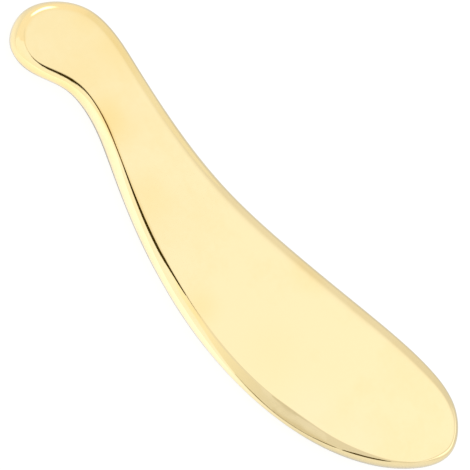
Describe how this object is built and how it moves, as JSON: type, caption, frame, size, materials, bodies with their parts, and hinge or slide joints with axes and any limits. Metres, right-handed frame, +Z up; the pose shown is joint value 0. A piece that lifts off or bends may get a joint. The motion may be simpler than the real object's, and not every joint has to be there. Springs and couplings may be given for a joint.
{
  "type": "gua sha tool",
  "caption": "Flat, curved gua sha scraping tool of solid polished brass, with a round head, a narrow neck, a concave waist and a broad blade that a bevel thins towards its edge.",
  "frame": {"origin": "under the middle of the plate's length and width, on the flat face that it lies on", "axes": "+X along the tool from its round head to the tip of its blade, +Y across it from the concave near side to the far side, +Z up out of its upper flat face"},
  "size_m": [0.14, 0.0378, 0.006],
  "materials": {
    "polished_brass": "mirror polished"
  },
  "bodies": {
    "root": {"scraper_body": "polished_brass"}
  },
  "joints": []
}
